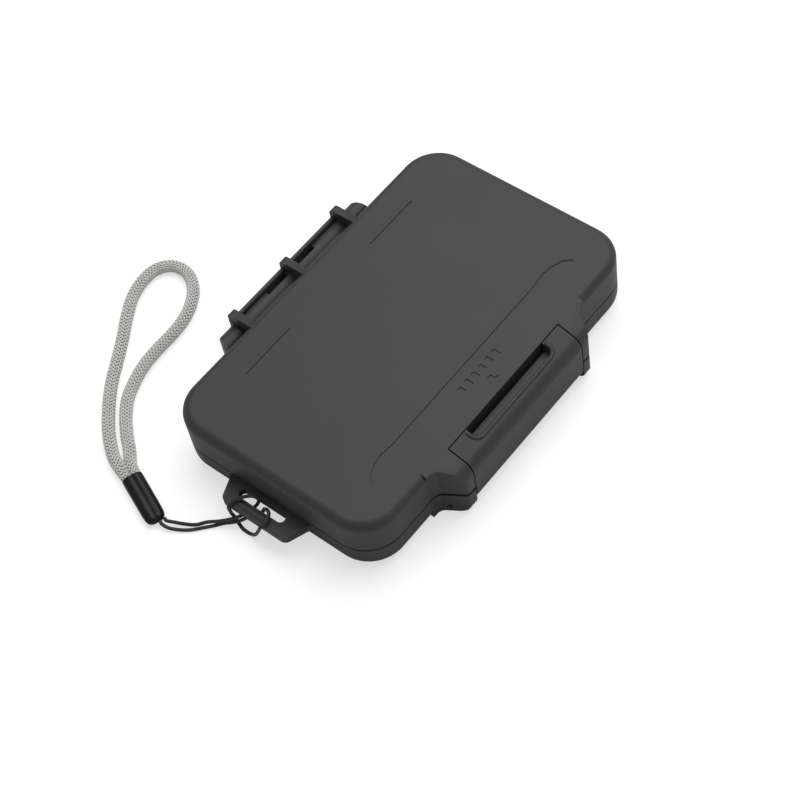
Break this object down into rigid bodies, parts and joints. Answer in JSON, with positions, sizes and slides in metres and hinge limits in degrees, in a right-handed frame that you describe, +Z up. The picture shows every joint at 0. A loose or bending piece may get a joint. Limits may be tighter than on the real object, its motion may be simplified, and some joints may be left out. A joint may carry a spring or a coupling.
{
  "type": "memory card case",
  "caption": "Hinged hard case for memory cards with a front latch, card inserts, an end lug and a knitted wrist strap.",
  "frame": {"origin": "middle of the case body's flat underside, on the table", "axes": "+X along the case, away from the strap lug; +Y from the latch to the hinge; +Z up through the lid"},
  "size_m": [0.1503, 0.1399, 0.0225],
  "materials": {
    "shell": "fine matte texture",
    "pin": "drawn steel",
    "seal": "soft satin",
    "insert": "matte",
    "cord": "knitted",
    "sleeve": "glossy",
    "string": "braided"
  },
  "bodies": {
    "base": {"base_shell": "shell", "hinge_pin_left": "pin", "hinge_pin_right": "pin", "latch_pin": "pin", "seal": "seal", "base_card_tray": "insert", "strap_loop": "cord", "strap_sleeve": "sleeve", "strap_string": "string"},
    "lid": {"lid_shell": "shell", "lid_card_tray": "insert"},
    "latch": {"latch": "shell"}
  },
  "joints": [
    {"name": "lid_hinge", "type": "hinge", "parent": "base", "child": "lid", "pos_m": [0, 0.0434, 0.0145], "axis": [-1, 0, 0], "range_deg": [0, 180]},
    {"name": "latch_hinge", "type": "hinge", "parent": "base", "child": "latch", "pos_m": [0, -0.0411, 0.0032], "axis": [1, 0, 0], "range_deg": [0, 50]}
  ]
}
